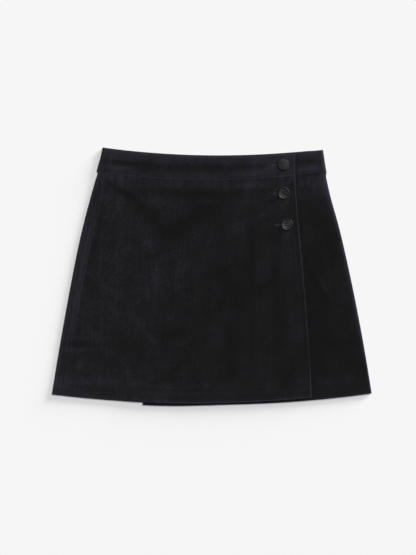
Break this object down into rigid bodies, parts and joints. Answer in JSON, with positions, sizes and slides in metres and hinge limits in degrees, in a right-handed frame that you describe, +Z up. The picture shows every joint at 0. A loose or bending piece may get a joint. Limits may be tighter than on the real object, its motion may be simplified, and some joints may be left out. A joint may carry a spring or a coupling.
{
  "type": "wrap skirt",
  "caption": "Short A-line wrap skirt of velvet, laid flat with its front up, its overlap closed by buttons along the wrap edge.",
  "frame": {"origin": "centre of the bounding box's base, on the surface that the skirt lies on", "axes": "+X to the viewer's right along the skirt's width, +Y from the hem towards the waist, +Z up, out of the skirt's front"},
  "size_m": [0.5168, 0.4154, 0.0135],
  "materials": {
    "velvet": "matte black cotton velvet with a short nap",
    "button": "semi-gloss dark grey resin"
  },
  "bodies": {
    "root": {"back_panel": "velvet", "underlap_panel": "velvet", "overlap_panel": "velvet", "waistband": "velvet", "button_waist": "button", "button_upper": "button", "button_lower": "button"}
  },
  "joints": []
}
